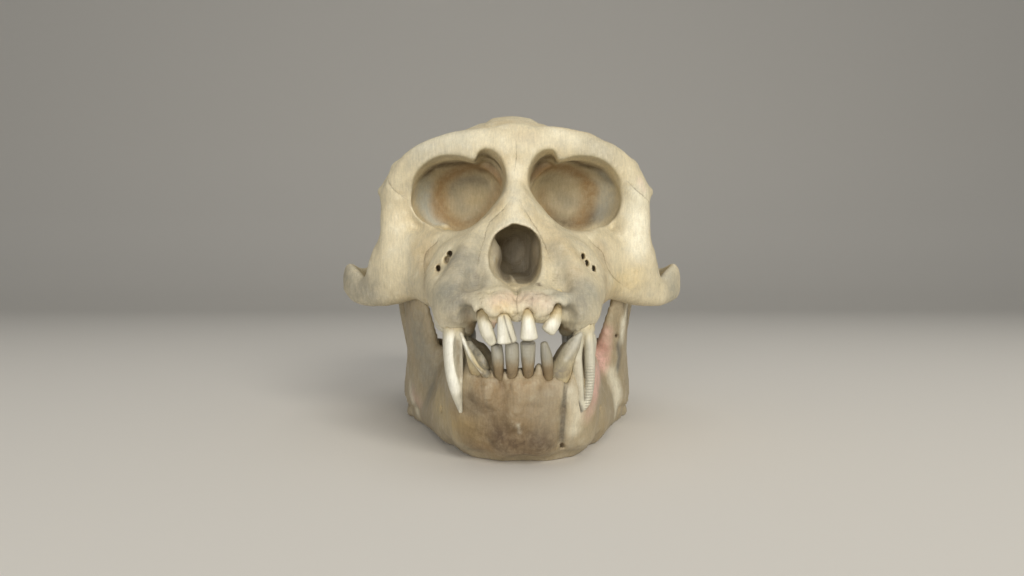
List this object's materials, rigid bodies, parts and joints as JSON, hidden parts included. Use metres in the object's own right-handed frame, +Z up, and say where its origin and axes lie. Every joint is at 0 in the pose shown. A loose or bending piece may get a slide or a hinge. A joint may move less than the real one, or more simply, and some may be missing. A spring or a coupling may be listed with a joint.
{
  "type": "macaque skull",
  "caption": "Skull of an adult male macaque with its lower jaw closed beneath it, long canine teeth and worn, stained bone.",
  "frame": {"origin": "centre of the bounding box, on the surface that the lower edge of the jaw stands on", "axes": "+Z up; -Y the way the face looks; +X towards the skull's own left side"},
  "size_m": [0.0894, 0.1244, 0.0843],
  "materials": {
    "bone": "matt, warm cream bone, browner in the hollows",
    "jaw_bone": "matt, darker brown and grey bone",
    "enamel": "satin, cream to white",
    "grey_enamel": "satin, grey with brown roots"
  },
  "bodies": {
    "root": {"cranium": "bone", "lower_left_canine": "enamel", "lower_left_first_incisor": "grey_enamel", "lower_left_first_molar": "enamel", "lower_left_first_premolar": "enamel", "lower_left_second_incisor": "grey_enamel", "lower_left_second_molar": "enamel", "lower_left_second_premolar": "enamel", "lower_left_third_molar": "enamel", "lower_right_canine": "enamel", "lower_right_first_incisor": "grey_enamel", "lower_right_first_molar": "enamel", "lower_right_first_premolar": "enamel", "lower_right_second_incisor": "grey_enamel", "lower_right_second_molar": "enamel", "lower_right_second_premolar": "enamel", "lower_right_third_molar": "enamel", "mandible": "jaw_bone", "upper_left_canine": "enamel", "upper_left_first_incisor": "enamel", "upper_left_first_molar": "enamel", "upper_left_first_premolar": "enamel", "upper_left_second_incisor": "enamel", "upper_left_second_molar": "enamel", "upper_left_second_premolar": "enamel", "upper_left_third_molar": "enamel", "upper_right_canine": "enamel", "upper_right_first_incisor": "enamel", "upper_right_first_molar": "enamel", "upper_right_first_premolar": "enamel", "upper_right_second_incisor": "enamel", "upper_right_second_molar": "enamel", "upper_right_second_premolar": "enamel", "upper_right_third_molar": "enamel"}
  },
  "joints": []
}
